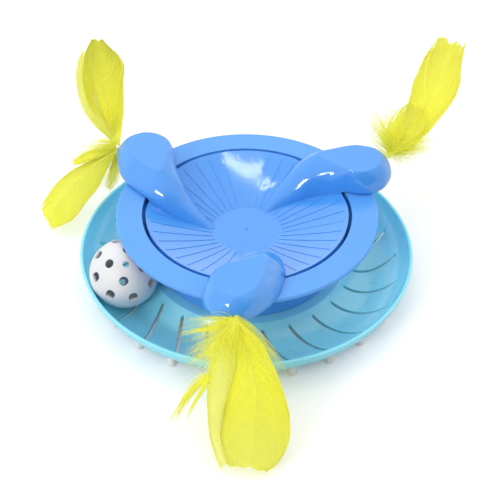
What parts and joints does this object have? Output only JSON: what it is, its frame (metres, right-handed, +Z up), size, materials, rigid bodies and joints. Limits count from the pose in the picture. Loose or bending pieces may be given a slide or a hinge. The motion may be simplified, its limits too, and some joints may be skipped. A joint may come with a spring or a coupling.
{
  "type": "cat ball track",
  "caption": "Round cat toy: a slotted ball channel under a fixed ring, with a free-spinning dished rotor whose curved arms carry feathers, and a perforated ball.",
  "frame": {"origin": "centre of the spin axis, on the surface that the tray's feet stand on", "axes": "+Z up along the rotor's spin axis, +Y towards the back of the picture, +X to its right"},
  "size_m": [0.2647, 0.2751, 0.1004],
  "materials": {
    "tray": "semi-gloss",
    "housing": "semi-gloss",
    "rotor": "glossy",
    "feet": "clear, glossy",
    "ball": "satin",
    "plug": "matte",
    "feather": "soft",
    "steel": "zinc plated"
  },
  "bodies": {
    "base": {"tray": "tray", "tray_feet": "feet", "housing": "housing", "housing_screws": "steel"},
    "rotor": {"rotor": "rotor", "pivot_washer": "steel", "pivot_screw": "steel", "feather_plug_front": "plug", "feather_plug_right": "plug", "feather_plug_left": "plug", "feather_front": "feather", "feather_left_upper": "feather", "feather_left_lower": "feather", "feather_right": "feather"},
    "ball": {"ball_near_half": "ball", "ball_far_half": "ball"}
  },
  "joints": [
    {"name": "rotor_spin", "type": "hinge", "parent": "base", "child": "rotor", "pos_m": [0, 0, 0], "axis": [0, 0, 1], "continuous": true},
    {"name": "ball_orbit", "type": "hinge", "parent": "base", "child": "ball", "pos_m": [0, 0, 0], "axis": [0, 0, 1], "continuous": true}
  ]
}
